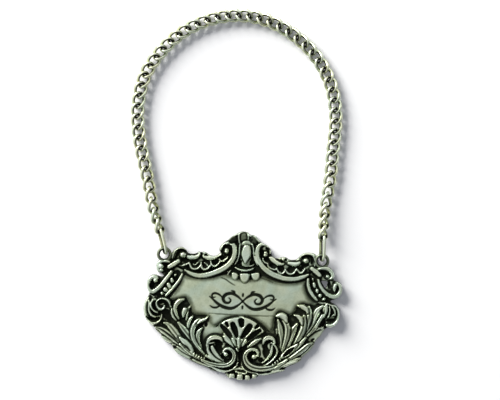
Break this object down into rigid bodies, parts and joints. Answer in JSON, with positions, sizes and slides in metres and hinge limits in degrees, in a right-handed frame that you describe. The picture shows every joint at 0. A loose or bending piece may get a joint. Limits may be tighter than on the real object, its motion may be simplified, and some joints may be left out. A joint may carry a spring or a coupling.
{
  "type": "decanter label",
  "caption": "Cast pewter label plate with scroll, leaf and shell ornament round a smooth plaque, hung by wire rings on a twisted curb chain that loops over a bottle neck.",
  "frame": {"origin": "on the flat back of the label plate, under the middle of the smooth plaque", "axes": "+Z out of the label's face, +Y up the label towards the top of the chain loop, +X to the viewer's right; the object lies on its back on Z = 0"},
  "size_m": [0.0656, 0.1116, 0.0043],
  "materials": {
    "pewter": "antique: worn bright ridges, near-black patina in the recesses, satin plaque",
    "silver": "polished wire, darker where links rub"
  },
  "bodies": {
    "label_plate": {"label_plate": "pewter"},
    "ring_left": {"ring_left": "silver"},
    "chain_section_01": {"link_01": "silver", "link_02": "silver", "link_03": "silver", "link_04": "silver"},
    "chain_section_02": {"link_05": "silver", "link_06": "silver", "link_07": "silver", "link_08": "silver"},
    "chain_section_03": {"link_09": "silver", "link_10": "silver", "link_11": "silver", "link_12": "silver", "link_13": "silver"},
    "chain_section_04": {"link_14": "silver", "link_15": "silver", "link_16": "silver", "link_17": "silver"},
    "chain_section_05": {"link_18": "silver", "link_19": "silver", "link_20": "silver", "link_21": "silver"},
    "chain_section_06": {"link_22": "silver", "link_23": "silver", "link_24": "silver", "link_25": "silver", "link_26": "silver", "link_27": "silver", "link_28": "silver", "link_29": "silver", "link_30": "silver", "link_31": "silver"},
    "chain_section_07": {"link_32": "silver", "link_33": "silver", "link_34": "silver", "link_35": "silver"},
    "chain_section_08": {"link_36": "silver", "link_37": "silver", "link_38": "silver", "link_39": "silver"},
    "chain_section_09": {"link_40": "silver", "link_41": "silver", "link_42": "silver", "link_43": "silver", "link_44": "silver"},
    "chain_section_10": {"link_45": "silver", "link_46": "silver", "link_47": "silver", "link_48": "silver"},
    "chain_section_11": {"link_49": "silver", "link_50": "silver", "link_51": "silver", "link_52": "silver"},
    "ring_right": {"ring_right": "silver"}
  },
  "joints": [
    {"name": "chain_swing", "type": "hinge", "parent": "label_plate", "child": "ring_left", "pos_m": [-0.0245, 0.017, 0.00207], "axis": [1, 0, 0], "range_deg": [-95, 95]},
    {"name": "chain_lean", "type": "hinge", "parent": "ring_left", "child": "chain_section_01", "pos_m": [-0.02609, 0.02221, 0.00222], "axis": [0, 0, 1], "range_deg": [-5, 5]},
    {"name": "chain_section_02_bend", "type": "hinge", "parent": "chain_section_01", "child": "chain_section_02", "pos_m": [-0.02967, 0.03445, 0.00195], "axis": [0, 0, 1], "range_deg": [-12, 12]},
    {"name": "chain_section_03_bend", "type": "hinge", "parent": "chain_section_02", "child": "chain_section_03", "pos_m": [-0.03282, 0.04683, 0.00135], "axis": [0, 0, 1], "range_deg": [-12, 12]},
    {"name": "chain_section_04_bend", "type": "hinge", "parent": "chain_section_03", "child": "chain_section_04", "pos_m": [-0.03405, 0.06264, 0.00135], "axis": [0, 0, 1], "range_deg": [-12, 12]},
    {"name": "chain_section_05_bend", "type": "hinge", "parent": "chain_section_04", "child": "chain_section_05", "pos_m": [-0.0294, 0.07436, 0.00135], "axis": [0, 0, 1], "range_deg": [-12, 12]},
    {"name": "chain_section_06_bend", "type": "hinge", "parent": "chain_section_05", "child": "chain_section_06", "pos_m": [-0.02032, 0.08323, 0.00135], "axis": [0, 0, 1], "range_deg": [-12, 12]},
    {"name": "chain_section_07_bend", "type": "hinge", "parent": "chain_section_06", "child": "chain_section_07", "pos_m": [0.00992, 0.08378, 0.00135], "axis": [0, 0, 1], "range_deg": [-12, 12]},
    {"name": "chain_section_08_bend", "type": "hinge", "parent": "chain_section_07", "child": "chain_section_08", "pos_m": [0.01942, 0.07537, 0.00135], "axis": [0, 0, 1], "range_deg": [-12, 12]},
    {"name": "chain_section_09_bend", "type": "hinge", "parent": "chain_section_08", "child": "chain_section_09", "pos_m": [0.02457, 0.06379, 0.00135], "axis": [0, 0, 1], "range_deg": [-12, 12]},
    {"name": "chain_section_10_bend", "type": "hinge", "parent": "chain_section_09", "child": "chain_section_10", "pos_m": [0.02478, 0.04789, 0.00135], "axis": [0, 0, 1], "range_deg": [-12, 12]},
    {"name": "chain_section_11_bend", "type": "hinge", "parent": "chain_section_10", "child": "chain_section_11", "pos_m": [0.02372, 0.03517, 0.00192], "axis": [0, 0, 1], "range_deg": [-12, 12]},
    {"name": "ring_right_bend", "type": "hinge", "parent": "chain_section_11", "child": "ring_right", "pos_m": [0.0228, 0.02245, 0.0022], "axis": [0, 0, 1], "range_deg": [-12, 12]}
  ],
  "couplings": [
    {"joint": "chain_section_02_bend", "follows": "chain_lean", "ratio": 1},
    {"joint": "chain_section_03_bend", "follows": "chain_lean", "ratio": 1},
    {"joint": "chain_section_04_bend", "follows": "chain_lean", "ratio": -1.1602},
    {"joint": "chain_section_05_bend", "follows": "chain_lean", "ratio": -1.1602},
    {"joint": "chain_section_06_bend", "follows": "chain_lean", "ratio": -1.1602},
    {"joint": "chain_section_07_bend", "follows": "chain_lean", "ratio": 1.1507},
    {"joint": "chain_section_08_bend", "follows": "chain_lean", "ratio": 1.1507},
    {"joint": "chain_section_09_bend", "follows": "chain_lean", "ratio": 1.1507},
    {"joint": "chain_section_10_bend", "follows": "chain_lean", "ratio": -0.99055},
    {"joint": "chain_section_11_bend", "follows": "chain_lean", "ratio": -0.99055},
    {"joint": "ring_right_bend", "follows": "chain_lean", "ratio": -0.99055}
  ]
}
